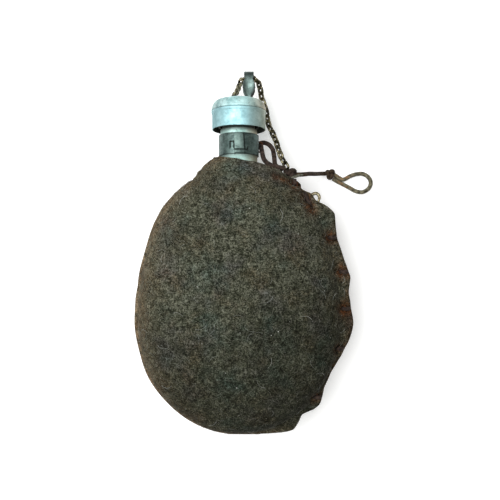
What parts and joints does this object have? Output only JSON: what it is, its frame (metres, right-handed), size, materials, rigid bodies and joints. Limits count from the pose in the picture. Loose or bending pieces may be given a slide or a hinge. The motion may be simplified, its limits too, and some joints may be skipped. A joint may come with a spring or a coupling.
{
  "type": "field canteen",
  "caption": "Flat oval field canteen: aluminium flask in a laced wool cover, with a screw cap held by a chain through a shackle, and a lace with a hanging loop.",
  "frame": {"origin": "on the flat rest of the back felt panel, under the flask's widest line and the neck's axis", "axes": "+X towards the laced side, +Y from the widest line to the cap along the neck, +Z out of the front of the canteen, up as it lies"},
  "size_m": [0.1634, 0.2382, 0.0674],
  "materials": {
    "aluminium": "worn satin, scratched",
    "felt": "thick fulled wool with loose fibres",
    "dark_steel": "dull, tarnished",
    "chain_steel": "worn, dark in the hollows",
    "rusty_steel": "rusted",
    "brass_wire": "dull",
    "lace": "dark, dry",
    "loop_cord": "woven cord",
    "rubber": "matt"
  },
  "bodies": {
    "bottle": {"back_felt": "felt", "band_staple": "dark_steel", "bottle": "aluminium", "chain_end_ring": "chain_steel", "chain_link_01": "chain_steel", "chain_link_02": "chain_steel", "chain_link_03": "chain_steel", "chain_link_04": "chain_steel", "chain_link_05": "chain_steel", "chain_link_06": "chain_steel", "chain_link_07": "chain_steel", "chain_link_08": "chain_steel", "chain_link_09": "chain_steel", "chain_link_10": "chain_steel", "chain_link_11": "chain_steel", "chain_link_12": "chain_steel", "chain_link_13": "chain_steel", "chain_link_14": "chain_steel", "chain_link_15": "chain_steel", "chain_link_16": "chain_steel", "chain_link_17": "chain_steel", "chain_link_18": "chain_steel", "chain_link_19": "chain_steel", "chain_link_20": "chain_steel", "chain_link_21": "chain_steel", "chain_link_22": "chain_steel", "chain_link_23": "chain_steel", "chain_link_24": "chain_steel", "chain_link_25": "chain_steel", "chain_link_26": "chain_steel", "chain_link_27": "chain_steel", "chain_link_28": "chain_steel", "front_felt": "felt", "hang_loop": "loop_cord", "lace_eyelet_1": "rusty_steel", "lace_eyelet_2": "rusty_steel", "lace_eyelet_3": "rusty_steel", "lace_eyelet_4": "rusty_steel", "lace_eyelet_5": "rusty_steel", "lace_eyelet_6": "rusty_steel", "lace_eyelet_7": "rusty_steel", "lace_stop_knot": "lace", "lace_tail": "lace", "neck_band": "dark_steel", "neck_lace": "lace", "shoulder_knot": "lace", "side_lace": "lace", "tail_knot": "lace", "wire_eye": "brass_wire"},
    "shackle": {"cap_shackle": "dark_steel", "shackle_rivet": "dark_steel"},
    "cap": {"cap_skirt": "aluminium", "cap_crown": "aluminium", "cap_bush": "aluminium", "cap_gasket": "rubber"}
  },
  "joints": [
    {"name": "cap_lift", "type": "slide", "parent": "bottle", "child": "shackle", "axis": [0, 1, 0], "range_m": [0, 0.0045]},
    {"name": "cap_turn", "type": "hinge", "parent": "shackle", "child": "cap", "pos_m": [0, 0.1365, 0.0333], "axis": [0, 1, 0], "range_deg": [0, 540]}
  ],
  "couplings": [
    {"joint": "cap_lift", "follows": "cap_turn", "m_per_rad": 0.00047746}
  ]
}
